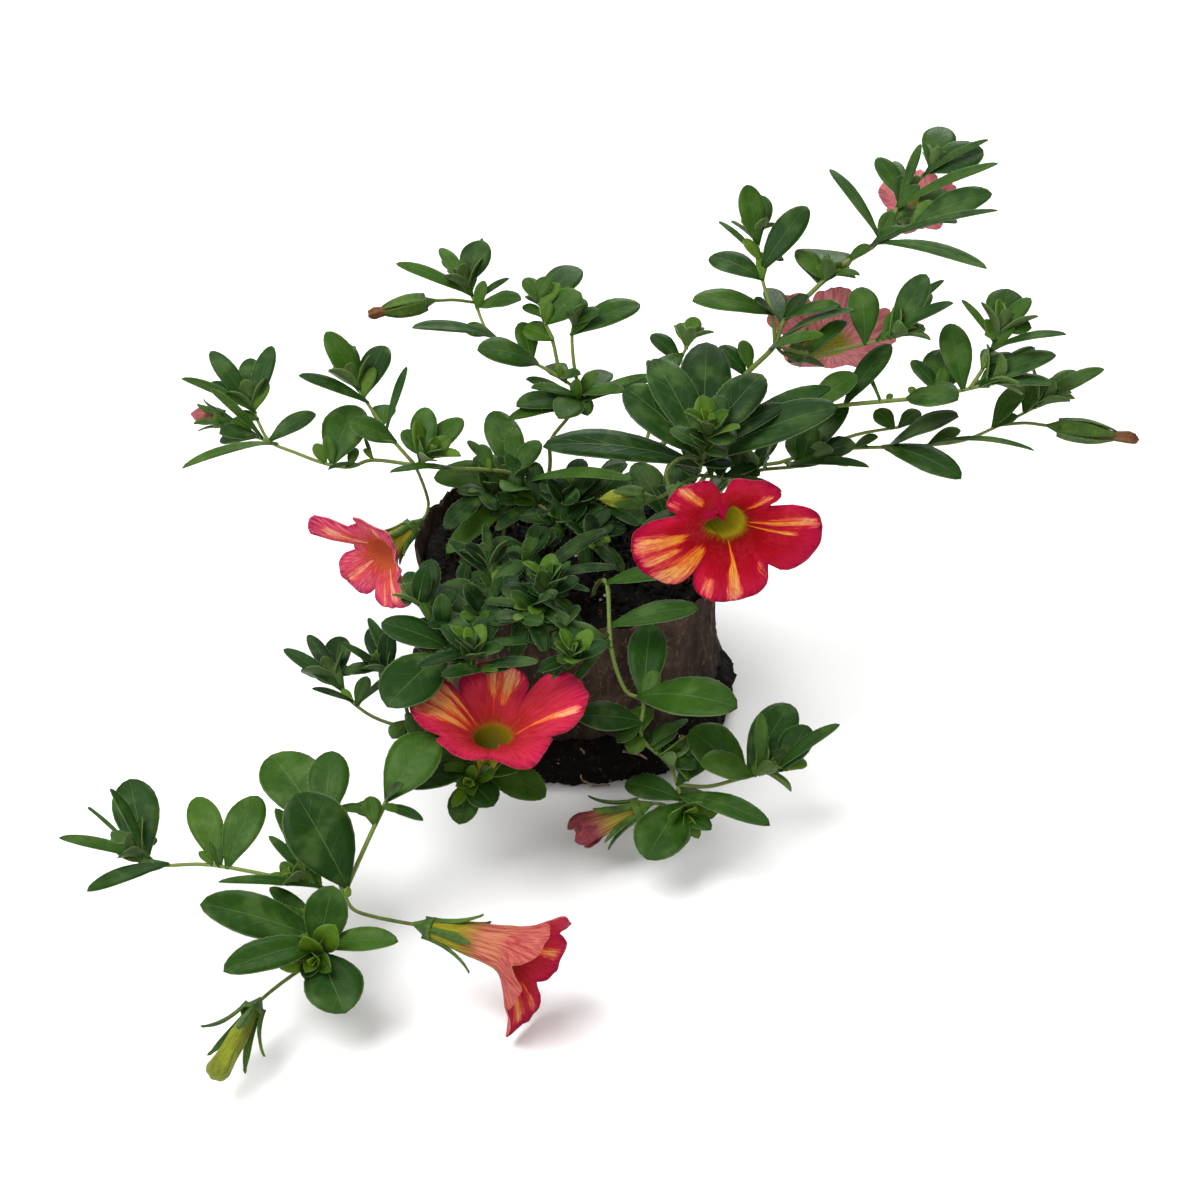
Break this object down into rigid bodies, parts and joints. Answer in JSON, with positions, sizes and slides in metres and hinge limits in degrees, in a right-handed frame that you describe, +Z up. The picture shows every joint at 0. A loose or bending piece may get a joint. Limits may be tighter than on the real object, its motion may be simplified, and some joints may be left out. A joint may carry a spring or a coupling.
{
  "type": "calibrachoa plug plant",
  "caption": "Young trailing calibrachoa in flower, with striped trumpet blooms, buds and leafy shoots standing in a paper-sleeved peat plug.",
  "frame": {"origin": "middle of the plug's flat base, on the ground", "axes": "+Z up out of the plug, -Y towards the front of the plant, +X to its right as seen from the front"},
  "size_m": [0.1965, 0.1692, 0.1035],
  "materials": {
    "paper": "matte",
    "peat": "matte",
    "leaf": "matte",
    "petal": "matte",
    "petal_pale": "matte",
    "bud_yellow": "matte",
    "bud_brown": "matte",
    "bud_pink": "matte"
  },
  "bodies": {
    "root": {"paper_sleeve": "paper", "peat_plug": "peat", "shoot_upright": "leaf", "shoot_crown": "leaf", "shoot_right": "leaf", "shoot_right_low": "leaf", "shoot_side": "leaf", "shoot_back_left": "leaf", "shoot_left": "leaf", "shoot_back_cushion": "leaf", "shoot_middle": "leaf", "shoot_front_left_short": "leaf", "shoot_left_front": "leaf", "shoot_front": "leaf", "shoot_front_left": "leaf", "shoot_front_right": "leaf", "corolla_main": "petal", "corolla_front": "petal", "corolla_behind": "petal_pale", "corolla_far": "petal_pale", "corolla_left": "petal", "corolla_low": "petal", "bud_right_spent": "bud_brown", "bud_left_spent": "bud_brown", "bud_low_yellow": "bud_yellow", "bud_front_pink": "bud_pink", "bud_crown_green": "bud_yellow", "bud_left_pink": "bud_pink"}
  },
  "joints": []
}
